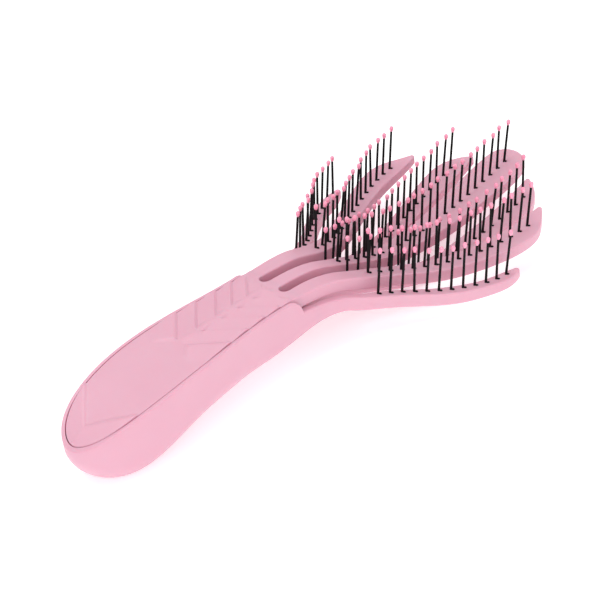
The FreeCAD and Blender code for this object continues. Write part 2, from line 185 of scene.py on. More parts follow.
class Finger:
    """One finger's plan edges from the neck to the tip, its heights and its row of bristles."""

    def __init__(self, name, level, inner, outer, tip, tip_round, heights, row, bristles):
        self.name = name
        self.upper = level == "upper"
        self.inner = smooth(inner + [tip[:2]]) if inner else None
        if inner:
            self.outer = smooth(outer + [tip[:2]])
        else:
            self.outer = smooth(outer + [tip[:2]], (1, 0), (0, -1))
        self.tip_round = tip_round
        root = handle_top[-1] if self.upper else lower_root
        full = UPPER_THICKNESS if self.upper else LOWER_THICKNESS
        top = smooth([root] + [(ROOT_X + x, z) for x, z in heights] + [(tip[0], tip[2])],
                     ROOT_DIRECTION, (1, 0.3))
        along = np.linspace(0.0, 1.0, len(top))
        under = beside(top, -(full - (full - TIP_THICKNESS) * along ** 3))
        before = handle_top if self.upper else neck_floor
        below = beside(handle_top, -UPPER_THICKNESS) if self.upper else keel
        self.top_z = height_of(np.vstack([before[:-1], top]))
        self.under_z = height_of(np.vstack([below[:-1], under]))
        self.row = smooth([(ROOT_X + x, y) for x, y in row], step=0.05)
        self.first, self.count = bristles

    def outline(self, start_x):
        """The closed plan outline of the finger on the brush's left, with its tip rounded."""
        outer = self.outer[self.outer[:, 0] >= start_x]
        if self.inner is None:
            return np.vstack([mirrored(outer), outer[-2::-1]])
        inner = self.inner[self.inner[:, 0] >= start_x]
        return np.vstack(rounded_tip(inner, outer, self.tip_round))

    def feet(self):
        """Where the bristles stand, at an even pitch along the row."""
        gaps = np.linalg.norm(np.diff(self.row, axis=0), axis=1)
        along = np.concatenate([[0.0], np.cumsum(gaps)])
        start = along[np.argmax(self.row[:, 0] >= ROOT_X + self.first)]
        at = start + BRISTLE_PITCH * np.arange(self.count)
        x = np.interp(at, along, self.row[:, 0])
        y = np.interp(at, along, self.row[:, 1])
        return np.stack([x, y, self.top_z(x)], axis=1)


def crossing(first, second):
    """Where two lines of points cross, as positions along each and the point itself."""
    for i in range(len(first) - 1, 0, -1):
        a, b = first[i - 1], first[i]
        c, d = second[:-1], second[1:]
        cross = (b - a)[0] * (d - c)[:, 1] - (b - a)[1] * (d - c)[:, 0]
        t = ((c - a)[:, 0] * (d - c)[:, 1] - (c - a)[:, 1] * (d - c)[:, 0]) / cross
        u = ((c - a)[:, 0] * (b - a)[1] - (c - a)[:, 1] * (b - a)[0]) / cross
        hits = np.nonzero((t >= 0) & (t <= 1) & (u >= 0) & (u <= 1))[0]
        if len(hits):
            return i - 1, hits[-1], a + t[hits[-1]] * (b - a)
    raise ValueError("the two sides of the tip don't meet")


def rounded_tip(inner, outer, radius):
    """The inner edge, a round tip and the outer edge, all in one direction round the finger."""
    i, j, centre = crossing(beside(inner, radius), beside(outer, -radius))
    first, last = inner[i] - centre, outer[j] - centre
    turn = math.atan2(first[0] * last[1] - first[1] * last[0], first @ last) % (2 * math.pi)
    begin = math.degrees(math.atan2(first[1], first[0]))
    tip = arc(centre, radius, begin, begin + math.degrees(turn), 15)
    return inner[:i], tip, outer[:j][::-1]


FINGERS = [
    Finger("centre", "upper", None,
           [(-26, 3.0), (-8, 3.0), (6, 3.0), (29, 3.9), (51, 5.3), (71, 7.1), (89, 8.5),
            (105, 9.2), (113, 7.2)],
           (116.0, 0.0, 18.4), 0.0,
           [(13, 18.6), (27, 13.2), (45, 10.4), (67, 10.9), (89, 14.0)],
           [(6, 0.0), (56, 0.0), (107, 0.0)], (7.3, 22)),
    Finger("inner", "lower",
           [(-26, 2.2), (-12.8, 2.2), (-6, 2.5), (0, 3.4), (6, 3.7), (29, 6.3), (51, 9.5),
            (71, 11.8), (89, 13.1)],
           [(-26, 9.5), (-13, 9.5), (-6, 9.1), (1, 7.8), (7, 7.6), (29, 12.0), (51, 17.6),
            (71, 22.2), (87, 25.1), (96, 24.8), (102.4, 20.8)],
           (107.0, 13.7, 15.4), 1.0,
           [(15, 12.3), (31, 7.4), (47, 5.4), (67, 7.5), (85, 11.0)],
           [(0, 4.6), (5, 5.5), (24, 9.3), (41, 12.7), (59, 16.1), (73, 17.9), (92, 18.9)],
           (6.0, 20)),
    Finger("middle", "upper",
           [(-26, 7.2), (-18, 7.2), (-7, 7.3), (0, 8.0), (6, 8.6), (23, 11.6), (40, 18.8),
            (57, 26.2), (69, 29.4), (81, 31.0)],
           [(SHELL_END_X, 12.95), (-9, 13.9), (6, 16.0), (23, 20.0), (40, 28.7), (57, 36.9),
            (69, 41.2), (79, 41.4), (87, 37.0)],
           (93.0, 32.3, 17.4), 1.2,
           [(17, 17.8), (33, 14.2), (49, 13.7), (67, 14.8)],
           [(0, 12.0), (8, 13.3), (17, 15.7), (34, 23.4), (51, 30.8), (65, 34.8), (75, 35.8)],
           (9.5, 16)),
    Finger("outer", "lower",
           [(-26, 13.5), (-13, 13.5), (-6, 14.0), (0, 15.5), (6, 17.2), (14, 20.2), (23, 25.0),
            (36, 34.4), (48, 40.9), (56, 43.4)],
           [(SHELL_END_X, 14.7), (-9, 16.9), (6, 21.4), (14, 25.5), (23, 31.0), (36, 40.7),
            (48, 46.4), (56, 48.4)],
           (62.8, 47.0, 11.4), 1.4,
           [(11, 15.0), (22, 12.3), (37, 10.8)],
           [(0, 18.6), (7, 21.9), (17, 27.6), (30, 37.1), (42, 43.3), (52, 45.5)],
           (6.1, 12)),
]
BY_NAME = {finger.name: finger for finger in FINGERS}


def sides_of(finger):
    """Each copy of a finger: its full name, and -1 where it is on the brush's right."""
    if finger.inner is None:
        return [(finger.name, 1)]
    return [("left_" + finger.name, 1), ("right_" + finger.name, -1)]


# ---- moulded shapes ----------------------------------------------------------------------
def inside(points, outline, margin):
    """Which points lie in a closed outline, at least a margin from its corners."""
    kept = np.zeros(len(points), bool)
    a, b = outline, np.roll(outline, -1, axis=0)
    for k in range(0, len(points), 500):
        x, y = points[k:k + 500, 0:1], points[k:k + 500, 1:2]
        spans = (a[:, 1] > y) != (b[:, 1] > y)
        rise = np.where(a[:, 1] == b[:, 1], 1.0, b[:, 1] - a[:, 1])
        left = x < a[:, 0] + (y - a[:, 1]) / rise * (b[:, 0] - a[:, 0])
        near = np.hypot(x - a[:, 0], y - a[:, 1]).min(axis=1)
        kept[k:k + 500] = ((spans & left).sum(axis=1) % 2 == 1) & (near > margin)
    return kept


def filling(outline, spacing, creases):
    """Triangles that fill an outline, with even points and any creases in them."""
    low, high = outline.min(axis=0), outline.max(axis=0)
    x = np.arange(low[0] + spacing / 2, high[0], spacing)
    y = np.arange(low[1] + spacing / 2, high[1], spacing)
    grid = np.array(np.meshgrid(x, y)).reshape(2, -1).T
    crease_points = np.vstack(creases) if creases else np.zeros((0, 2))
    if creases:
        near = np.concatenate([np.hypot(grid[k:k + 500, 0:1] - crease_points[:, 0],
                                        grid[k:k + 500, 1:2] - crease_points[:, 1]).min(axis=1)
                               for k in range(0, len(grid), 500)])
        grid = grid[near > spacing * 0.6]
    grid = grid[inside(grid, outline, spacing * 0.5)]
    points = [outline, grid]
    total = len(outline) + len(grid)
    edges = []
    for line in creases:
        kept = inside(line, outline, 0.12)
        index = total + np.cumsum(kept) - 1
        pairs = np.nonzero(kept[:-1] & kept[1:])[0]
        edges += [(int(index[k]), int(index[k + 1])) for k in pairs]
        points.append(line[kept])
        total += int(kept.sum())
    flat = [Vector(point) for point in np.vstack(points)]
    ring = list(range(len(outline)))
    places, _, faces, sources, _, _ = delaunay_2d_cdt(flat, edges, [ring], 1, 1e-5)
    return np.array([tuple(place) for place in places]), faces, sources


def moulding(outline, rings, spacing=2.5, creases=()):
    """A closed solid from a plan outline.

    Each ring moves the outline in by a distance and sets it at a height; both may change with
    the place. The first ring is filled as the top and the last as the underside.
    """
    normals = left_normals(outline, closed=True)
    bm = bmesh.new()
    rows, plans = [], []
    for inset, level in rings:
        plan = outline + normals * np.reshape(inset(outline[:, 0]), (-1, 1))
        heights = level(plan[:, 0], plan[:, 1])
        rows.append([bm.verts.new((p[0], p[1], z)) for p, z in zip(plan, heights)])
        plans.append(plan)
    for upper, lower in zip(rows, rows[1:]):
        for i in range(len(upper)):
            j = (i + 1) % len(upper)
            bm.faces.new((upper[i], lower[i], lower[j], upper[j]))
    for row, plan, level, lines in ((rows[0], plans[0], rings[0][1], creases),
                                    (rows[-1], plans[-1], rings[-1][1], ())):
        places, faces, sources = filling(plan, spacing, list(lines))
        heights = level(places[:, 0], places[:, 1])
        verts = []
        for place, z, source in zip(places, heights, sources):
            on_ring = [k for k in source if k < len(row)]
            verts.append(row[on_ring[0]] if on_ring else bm.verts.new((place[0], place[1], z)))
        for face in faces:
            corners = [verts[k] for k in face]
            if len(set(corners)) == len(corners):
                bm.faces.new(corners)
    bmesh.ops.remove_doubles(bm, verts=bm.verts, dist=1e-4)
    bmesh.ops.recalc_face_normals(bm, faces=bm.faces)
    return bm


def cut(bm, x, keep):
    """Keep the part behind or in front of a plane across the brush, and close the cut."""
    geometry = bm.verts[:] + bm.edges[:] + bm.faces[:]
    bmesh.ops.bisect_plane(bm, geom=geometry, plane_co=(x, 0, 0), plane_no=(1, 0, 0), dist=1e-4,
                           clear_outer=keep == "behind", clear_inner=keep == "ahead")
    bmesh.ops.holes_fill(bm, edges=[e for e in bm.edges if e.is_boundary], sides=0)
    bmesh.ops.recalc_face_normals(bm, faces=bm.faces)


def finish_mesh(bm, name, material, side=1):
    """A mesh object in metres at the origin, on either side of the brush."""
    bm = bm.copy()
    for vert in bm.verts:
        vert.co = Vector((vert.co.x, vert.co.y * side, vert.co.z)) * MM
    if side < 0:
        bmesh.ops.reverse_faces(bm, faces=bm.faces)
    open_edges = [e for e in bm.edges if len(e.link_faces) != 2]
    if open_edges:
        raise ValueError("%s has %d open edges" % (name, len(open_edges)))
    mesh = bpy.data.meshes.new(name)
    bm.to_mesh(mesh)
    bm.free()
    mesh.shade_smooth()
    mesh.set_sharp_from_angle(angle=SHARP_ANGLE)
    mesh.materials.append(material)
    piece = bpy.data.objects.new(name, mesh)
    bpy.context.scene.collection.objects.link(piece)
    return piece


def constant(value):
    return lambda x: np.full(np.shape(x), float(value))


def along_x(profile):
    return lambda x, y: profile(x)


def edge_rings(level, radius, rising, support=0.12, steps=4):
    """Rings round a quarter-circle edge, from the flat face to the side wall."""
    sign = 1.0 if rising else -1.0
    rings = [(constant(radius + support), level)]
    for k in range(steps + 1):
        angle = math.pi / 2 * k / steps
        inset = radius * (1 - math.sin(angle))
        drop = sign * radius * (1 - math.cos(angle))
        rings.append((constant(inset), lambda x, y, drop=drop: level(x, y) + drop))
    wall = sign * (radius + support)
    rings.append((constant(0.0), lambda x, y: level(x, y) + wall))
    return rings


# ---- materials ---------------------------------------------------------------------------
def node(tree, kind, **values):
    """Add a node, with attributes by name and inputs by their socket names."""
    made = tree.nodes.new(kind)
    for key, value in values.items():
        socket = key.replace("_", " ")
        if socket in made.inputs and not hasattr(made, key):
            if hasattr(value, "is_output"):
                tree.links.new(value, made.inputs[socket])
            else:
                made.inputs[socket].default_value = value
        else:
            setattr(made, key, value)
    return made


def moulded_plastic(name, colour, shade, roughness, grain, coat=0.0, glow=0.0, shine=0.5):
    """Moulded plastic with a fine grain, soft flow marks and a slightly uneven gloss."""
    material = bpy.data.materials.new(name)
    material.use_nodes = True
    tree = material.node_tree
    shader = tree.nodes["Principled BSDF"]
    place = node(tree, "ShaderNodeTexCoord").outputs["Object"]
    cloudy = node(tree, "ShaderNodeTexNoise", Vector=place, Scale=38.0, Detail=3.0,
                  Roughness=0.55)
    ramp = node(tree, "ShaderNodeValToRGB", Fac=cloudy.outputs["Fac"])
    ramp.color_ramp.elements[0].position = 0.3
    ramp.color_ramp.elements[0].color = (*shade, 1.0)
    ramp.color_ramp.elements[1].position = 0.72
    ramp.color_ramp.elements[1].color = (*colour, 1.0)
    tree.links.new(ramp.outputs["Color"], shader.inputs["Base Color"])
    speckle = node(tree, "ShaderNodeTexNoise", Vector=place, Scale=900.0, Detail=2.0)
    gloss = node(tree, "ShaderNodeMapRange", Value=speckle.outputs["Fac"])
    gloss.inputs["To Min"].default_value = roughness - 0.06
    gloss.inputs["To Max"].default_value = roughness + 0.06
    tree.links.new(gloss.outputs["Result"], shader.inputs["Roughness"])
    texture = node(tree, "ShaderNodeTexNoise", Vector=place, Scale=2600.0, Detail=1.0)
    bump = node(tree, "ShaderNodeBump", Height=texture.outputs["Fac"], Strength=grain,
                Distance=0.0001)
    tree.links.new(bump.outputs["Normal"], shader.inputs["Normal"])
    shader.inputs["Subsurface Weight"].default_value = glow
    shader.inputs["Subsurface Radius"].default_value = (1.0, 0.25, 0.35)
    shader.inputs["Subsurface Scale"].default_value = 0.003
    shader.inputs["Specular IOR Level"].default_value = shine
    shader.inputs["Coat Weight"].default_value = coat
    shader.inputs["Coat Roughness"].default_value = 0.25
    return material


def material_named(name):
    """Make one of the brush's three plastics, or find it if it is already made."""
    found = bpy.data.materials.get(name)
    if found:
        return found
    colours = bpy.context.scene.brush_colours
    if name == "soft pink plastic":
        return moulded_plastic(name, colours.pink, colours.pink_shade, 0.46, 0.12, glow=0.3)
    if name == "black bristle nylon":
        return moulded_plastic(name, colours.bristle, colours.bristle_shade, 0.5, 0.1, shine=0.15)
    return moulded_plastic(name, colours.ball, colours.ball_shade, 0.25, 0.04, coat=0.2,
                           glow=0.3)


# ---- the leaf pattern of the top plate ---------------------------------------------------
VEIN_STARTS = [37.3, 50.0, 59.5, 68.8, 76.6, 84.0, 91.4]     # stations where side veins begin
VEIN_RUN = 0.885              # how far a vein runs towards the head for each mm outwards
VEIN_DROP = 1.4               # length of the steep side of each vein
BUTT_VEIN = 7.6               # station where the pair of veins at the butt begins
RIB_START = 54.3              # stations of the midrib's ends
RIB_END = 97.0
RIB_HALF_WIDTH = 1.7
BUTT_RIB_HALF_WIDTH = 0.9
ARCH_STEP = 0.9               # length of the step up from the plain field
ARCH = [(0.0, 54.3), (5.0, 50.6), (9.8, 45.6), (13.3, 38.3), (15.5, 31.0)]   # plain field's end


def leaf_height(x, y):
    """Height of the leaf pattern over the plate's smooth top, as a share of its full height."""
    across = np.abs(y)
    station = x - BUTT_X
    start = station - VEIN_RUN * across
    arch = np.interp(across, [a for a, b in ARCH], [b for a, b in ARCH])
    leaf = ease((station - arch) / ARCH_STEP)
    saw = np.zeros_like(start)
    for low, high in zip(VEIN_STARTS, VEIN_STARTS[1:]):
        rise = np.clip((start - low - VEIN_DROP) / (high - low - VEIN_DROP), 0, 1)
        fall = ease((start - high) / VEIN_DROP)
        within = (start > low + VEIN_DROP) & (start <= high + VEIN_DROP)
        saw = np.where(within, rise * (1 - fall), saw)
    head_end = ease((RIB_END - 1.0 - station) / 4.0)
    butt = np.clip(start / BUTT_VEIN, 0, 1) * (1 - ease((start - BUTT_VEIN) / VEIN_DROP))
    butt = butt * ease(station / 3.0)
    rib = np.sqrt(np.clip(1 - (across / RIB_HALF_WIDTH) ** 2, 0, 1))
    rib_length = ease((station - RIB_START + 2.0) / 5.0) * ease((RIB_END - station) / 6.0)
    butt_rib = 0.9 * np.clip(1 - across / BUTT_RIB_HALF_WIDTH, 0, 1)
    butt_rib = butt_rib * ease((9.5 - station) / 2.0)
    butt_rib = butt_rib * ease((station - 1.0) / 1.5)
    raised = np.maximum(saw * leaf * head_end, 0.9 * butt)
    return np.maximum(np.maximum(raised, rib * rib_length), butt_rib)


def leaf_creases():
    """Lines of the leaf pattern that the plate's surface folds along."""
    out = np.arange(0.0, 17.0, 0.7)
    lines = []
    for start in VEIN_STARTS + [BUTT_VEIN]:
        for shift in (0.0, VEIN_DROP / 2, VEIN_DROP):
            lines.append(np.stack([BUTT_X + start + shift + VEIN_RUN * out, out], axis=1))
    arch = smooth([(BUTT_X + b, a) for a, b in ARCH], step=0.7)
    lines += [arch, arch + np.array([ARCH_STEP, 0.0])]
    both = lines + [mirrored(line[1:]) for line in lines]
    for y in (-RIB_HALF_WIDTH, -1.3, -0.7, 0.7, 1.3, RIB_HALF_WIDTH):
        x = np.arange(BUTT_X + RIB_START - 2, BUTT_X + RIB_END, 0.8)
        both.append(np.stack([x, np.full(len(x), y)], axis=1))
    return both


# ---- add-on ------------------------------------------------------------------------------
class BrushSizes(bpy.types.PropertyGroup):
    """Sizes of the brush's finishing details."""

    edge_round: FloatProperty(
        name="Edge round", description="Radius of the mouldings' upper edges",
        default=0.0006, min=0.0002, max=0.0012, unit="LENGTH")
    under_round: FloatProperty(
        name="Underside round", description="Radius of the fingers' lower edges",
        default=0.0009, min=0.0002, max=0.0014, unit="LENGTH")
    seam_gap: FloatProperty(
        name="Seam gap", description="Gap between the top plate and the shell's rim",
        default=0.00028, min=0.0001, max=0.001, unit="LENGTH")
    leaf_height: FloatProperty(
        name="Leaf height", description="Height of the raised leaf pattern",
        default=0.00075, min=0.0, max=0.001, unit="LENGTH")
    bristle_diameter: FloatProperty(
        name="Bristle diameter", description="Diameter of each bristle at its foot",
        default=0.00105, min=0.0004, max=0.002, unit="LENGTH")
    bristle_length: FloatProperty(
        name="Bristle length", description="Finger surface to the middle of the ball tip",
        default=0.017, min=0.008, max=0.025, unit="LENGTH")
    bristle_seat: FloatProperty(
        name="Bristle seat", description="Depth that each bristle is set in its finger",
        default=0.0020, min=0.0, max=0.003, unit="LENGTH")
    bristle_lean: FloatProperty(
        name="Bristle lean", description="Lean of the bristles towards the fingertips",
        default=math.radians(9.5), subtype="ANGLE")
    bristle_tilt: FloatProperty(
        name="Bristle tilt", description="Most that one bristle stands off true",
        default=math.radians(2.4), subtype="ANGLE")
    ball_width: FloatProperty(
        name="Ball width", description="Width of each drop-shaped tip",
        default=0.0019, min=0.001, max=0.004, unit="LENGTH")
    ball_height: FloatProperty(
        name="Ball height", description="Height of each drop-shaped tip",
        default=0.0027, min=0.001, max=0.005, unit="LENGTH")
    seed: IntProperty(name="Seed", description="Seed of the bristles' tilt", default=7)


class BrushColours(bpy.types.PropertyGroup):
    """Colours of the brush's three plastics and of the stage."""

    pink: FloatVectorProperty(
        name="Pink", description="Handle, neck and fingers", subtype="COLOR", size=3,
        default=(0.71, 0.385, 0.482), min=0.0, max=1.0)
    pink_shade: FloatVectorProperty(
        name="Pink flow marks", description="Slightly deeper pink of the flow marks",
        subtype="COLOR", size=3, default=(0.69, 0.36, 0.457), min=0.0, max=1.0)
    bristle: FloatVectorProperty(
        name="Bristle black", description="Bristles and their feet", subtype="COLOR", size=3,
        default=(0.0045, 0.004, 0.0045), min=0.0, max=1.0)
    bristle_shade: FloatVectorProperty(
        name="Bristle deep black", description="Darker streaks of the bristles",
        subtype="COLOR", size=3, default=(0.003, 0.003, 0.0033), min=0.0, max=1.0)
    ball: FloatVectorProperty(
        name="Ball pink", description="Ball tips", subtype="COLOR", size=3,
        default=(0.96, 0.36, 0.50), min=0.0, max=1.0)
    ball_shade: FloatVectorProperty(
        name="Ball deep pink", description="Deeper pink in the ball tips", subtype="COLOR",
        size=3, default=(0.93, 0.31, 0.45), min=0.0, max=1.0)
    floor: FloatVectorProperty(
        name="Floor", description="Pale floor under the brush", subtype="COLOR", size=3,
        default=(0.95, 0.95, 0.95), min=0.0, max=1.0)


class BRUSH_OT_top_plate(bpy.types.Operator):
    """Build the leaf-patterned top plate of the handle, up to its three finger strips"""

    bl_idname = "brush.top_plate"
    bl_label = "Top Plate"

    def execute(self, context):
        sizes = context.scene.brush_sizes
        inset = RIM_WIDTH + sizes.seam_gap / MM
        centre, middle = BY_NAME["centre"], BY_NAME["middle"]
        end_x = PLATE_CUT_X + RUN_ON
        panel = beside(handle_edge, -inset)
        slot_outer = float(height_of(middle.inner)(PLATE_CUT_X))
        slot_middle = (SLOT_INNER_Y + slot_outer) / 2
        slot_round = (slot_outer - SLOT_INNER_Y) / 2
        half = np.vstack([
            panel[panel[:, 0] < SHELL_END_X - 1],
            stretch(middle.outer, SHELL_END_X + 0.5, end_x),
            stretch(middle.inner, PLATE_CUT_X, end_x)[::-1][:-1],
            arc((PLATE_CUT_X, slot_middle), slot_round, 90, 270, 21),
            [(end_x, SLOT_INNER_Y)],
        ])
        half[0, 1] = 0.0
        outline = np.vstack([mirrored(half), half[:0:-1]])
        leaf = sizes.leaf_height / MM

        def top(x, y):
            return top_z(x) + leaf * leaf_height(x, y)

        def under(x, y):
            neck = ease((x - SHELL_END_X + 1) / 1.5)
            return top_z(x) - PANEL_THICKNESS - neck * (UPPER_THICKNESS - PANEL_THICKNESS)

        rings = edge_rings(top, sizes.edge_round / MM * 0.6, False)
        rings += edge_rings(under, 0.3, True)[::-1]
        bm = moulding(outline, rings, spacing=0.9, creases=leaf_creases())
        cut(bm, PLATE_CUT_X, "behind")
        piece = finish_mesh(bm, "leaf_top_plate", material_named("soft pink plastic"))
        bm.free()
        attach(piece, "handle")
        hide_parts("handle_top_plate")
        return {"FINISHED"}


class BRUSH_OT_back_shell(bpy.types.Operator):
    """Build the handle's back shell with its rim, up to its four finger strips"""

    bl_idname = "brush.back_shell"
    bl_label = "Back Shell"

    def execute(self, context):
        inner, outer = BY_NAME["inner"], BY_NAME["outer"]
        end_x = SHELL_CUT_X + RUN_ON
        low = float(height_of(inner.outer)(SHELL_CUT_X))
        high = float(height_of(outer.inner)(SHELL_CUT_X))
        core = float(height_of(inner.inner)(SHELL_CUT_X))
        half = np.vstack([
            handle_edge[handle_edge[:, 0] < SHELL_END_X - 0.2],
            stretch(outer.outer, SHELL_END_X + 0.2, end_x),
            stretch(outer.inner, SHELL_CUT_X, end_x)[::-1][:-1],
            arc((SHELL_CUT_X, (low + high) / 2), (high - low) / 2, 90, 270, 21),
            stretch(inner.outer, SHELL_CUT_X, end_x)[1:],
            stretch(inner.inner, SHELL_CUT_X, end_x)[::-1][:-1],
            arc((SHELL_CUT_X, 0.0), core, 90, 180, 11),
        ])
        half[0, 1] = 0.0
        half[-1, 1] = 0.0
        outline = np.vstack([mirrored(half[:-1]), half[:0:-1]])
        nose_top = float(top_z(SHELL_END_X))

        def rim(x, y):
            share = np.clip((x - SHELL_END_X) / NOSE_LENGTH, 0, 1)
            nose = neck_floor_z(x) + (nose_top - neck_floor_z(x)) * np.sqrt(1 - share ** 2)
            return np.where(x < SHELL_END_X, top_z(x), nose)

        def seat(x, y):
            neck = ease((x - SHELL_END_X + 3) / 2)
            return (1 - neck) * (top_z(x) - PANEL_THICKNESS - 0.1) + neck * neck_floor_z(x)

        def wall(x):
            share = np.clip((x - SHELL_END_X) / NOSE_LENGTH, 0, 1)
            return RIM_WIDTH * (1 - 0.35 * share)

        def bottom_round(x):
            grown = ease((ROUND_START_X - x) / ROUND_GROWTH)
            return NECK_ROUND + (BOTTOM_ROUND - NECK_ROUND) * grown

        edge_round = 0.55
        rings = [(lambda x: wall(x) + 0.1, seat),
                 (wall, seat),
                 (lambda x: wall(x) - 0.02, lambda x, y: np.maximum(rim(x, y) - 0.2, seat(x, y))),
                 (lambda x: wall(x) - 0.06, lambda x, y: np.maximum(rim(x, y) - 0.06, seat(x, y))),
                 (lambda x: wall(x) - 0.2, rim)]
        rings += edge_rings(rim, edge_round, False, support=0.06)
        steps = 10
        for k in range(steps, -1, -1):
            angle = math.pi / 2 * k / steps
            rings.append((
                lambda x, angle=angle: bottom_round(x) * (1 - math.sin(angle)),
                lambda x, y, angle=angle: keel_z(x) + bottom_round(x) * (1 - math.cos(angle))))
        rings.append((lambda x: bottom_round(x) + 0.15, along_x(keel_z)))
        bm = moulding(outline, rings, spacing=2.0)
        cut(bm, SHELL_CUT_X, "behind")
        piece = finish_mesh(bm, "back_shell", material_named("soft pink plastic"))
        bm.free()
        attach(piece, "handle")
        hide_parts("handle_back_shell")
        return {"FINISHED"}


class BRUSH_OT_fingers(bpy.types.Operator):
    """Build the seven fingers, each from its strip of the neck to its tip"""

    bl_idname = "brush.fingers"
    bl_label = "Fingers"

    def execute(self, context):
        sizes = context.scene.brush_sizes
        for finger in FINGERS:
            cut_x = PLATE_CUT_X if finger.upper else SHELL_CUT_X
            outline = finger.outline(cut_x - LEAD_IN)
            top_round = sizes.edge_round / MM
            rings = edge_rings(along_x(finger.top_z), top_round, False)
            rings += edge_rings(along_x(finger.under_z), sizes.under_round / MM, True)[::-1]
            bm = moulding(outline, rings, spacing=1.6)
            cut(bm, cut_x, "ahead")
            for name, side in sides_of(finger):
                piece = finish_mesh(bm, name + "_flexing_strip",
                                    material_named("soft pink plastic"), side)
                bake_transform(piece)
                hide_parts(name + "_finger")
            bm.free()
        return {"FINISHED"}


# ---- rows of bristles and tips, as geometry nodes ----------------------------------------
BRISTLE_TAPER = 0.88          # radius at a bristle's tip, as a share of that at its foot
SIDE_BLOB_OFFSET = 1.05            # how far the small black blob beside each bristle's foot stands aside, in bristle radii
SIDE_BLOB_SCALE = (1.3, 1.3, 0.8)
DROP_LOW = 0.6                # width of a ball tip at its bottom and top, as shares of its
DROP_HIGH = 1.12              # middle


def row_inputs(tree, floats):
    """Give a node group its geometry, sizes, angles and seed inputs, and its output."""
    tree.interface.new_socket("Geometry", in_out="INPUT", socket_type="NodeSocketGeometry")
    for name in floats:
        tree.interface.new_socket(name, in_out="INPUT", socket_type="NodeSocketFloat")
    tree.interface.new_socket("Seed", in_out="INPUT", socket_type="NodeSocketInt")
    tree.interface.new_socket("Material", in_out="INPUT", socket_type="NodeSocketMaterial")
    tree.interface.new_socket("Geometry", in_out="OUTPUT", socket_type="NodeSocketGeometry")
    return tree.nodes.new("NodeGroupInput").outputs


def maths(tree, operation, *values):
    """A maths node on sockets or numbers, and its result."""
    made = tree.nodes.new("ShaderNodeMath")
    made.operation = operation
    for socket, value in zip(made.inputs, values):
        if hasattr(value, "is_output"):
            tree.links.new(value, socket)
        else:
            socket.default_value = value
    return made.outputs[0]


def combine(tree, x=0.0, y=0.0, z=0.0):
    return node(tree, "ShaderNodeCombineXYZ", X=x, Y=y, Z=z).outputs[0]


def stand_on_points(tree, inputs, shape):
    """Set one copy of a shape on each point, leaning and slightly off true, as plain mesh."""
    tilt = inputs["Tilt"]
    less = maths(tree, "MULTIPLY", tilt, -1.0)
    off_true = tree.nodes.new("FunctionNodeRandomValue")
    off_true.data_type = "FLOAT_VECTOR"
    tree.links.new(combine(tree, less, less), off_true.inputs[0])
    tree.links.new(combine(tree, tilt, tilt), off_true.inputs[1])
    tree.links.new(inputs["Seed"], off_true.inputs["Seed"])
    turn = tree.nodes.new("ShaderNodeVectorMath")
    turn.operation = "ADD"
    tree.links.new(combine(tree, 0.0, inputs["Lean"]), turn.inputs[0])
    tree.links.new(off_true.outputs[0], turn.inputs[1])
    stand = node(tree, "GeometryNodeInstanceOnPoints", Points=inputs["Geometry"], Instance=shape,
                 Rotation=turn.outputs[0])
    real = node(tree, "GeometryNodeRealizeInstances", Geometry=stand.outputs["Instances"])
    rounded = node(tree, "GeometryNodeSetShadeSmooth", Geometry=real.outputs["Geometry"])
    done = node(tree, "GeometryNodeSetMaterial", Geometry=rounded.outputs["Geometry"],
                Material=inputs["Material"])
    out = tree.nodes.new("NodeGroupOutput")
    tree.links.new(done.outputs["Geometry"], out.inputs[0])


def bristle_tree():
    """Node group that stands one tapered bristle on each point, with a small black blob beside its
    foot, set the same way on every row.
    """
    tree = bpy.data.node_groups.new("Bristle Row", "GeometryNodeTree")
    inputs = row_inputs(tree, ["Radius", "Length", "Seat", "Lean", "Tilt"])
    whole = maths(tree, "ADD", inputs["Length"], inputs["Seat"])
    rod = node(tree, "GeometryNodeMeshCone", Vertices=10, Side_Segments=4, Depth=whole)
    tree.links.new(inputs["Radius"], rod.inputs["Radius Bottom"])
    narrowed = maths(tree, "MULTIPLY", inputs["Radius"], BRISTLE_TAPER)
    tree.links.new(narrowed, rod.inputs["Radius Top"])
    sunk = maths(tree, "MULTIPLY", inputs["Seat"], -1.0)
    seated = node(tree, "GeometryNodeTransform", Geometry=rod.outputs["Mesh"],
                  Translation=combine(tree, 0.0, 0.0, sunk))
    # a small black blob beside the bristle's foot, offset the same way on both sides of the brush
    side_blob = node(tree, "GeometryNodeMeshUVSphere", Segments=10, Rings=6, Radius=inputs["Radius"])
    off = maths(tree, "MULTIPLY", inputs["Radius"], SIDE_BLOB_OFFSET)
    aside = maths(tree, "MULTIPLY", inputs["Radius"], -SIDE_BLOB_OFFSET)
    foot = node(tree, "GeometryNodeTransform", Geometry=side_blob.outputs["Mesh"],
                Translation=combine(tree, off, aside), Scale=SIDE_BLOB_SCALE)
    joined = tree.nodes.new("GeometryNodeJoinGeometry")
    tree.links.new(seated.outputs["Geometry"], joined.inputs[0])
    tree.links.new(foot.outputs["Geometry"], joined.inputs[0])
    stand_on_points(tree, inputs, joined.outputs[0])
    return tree


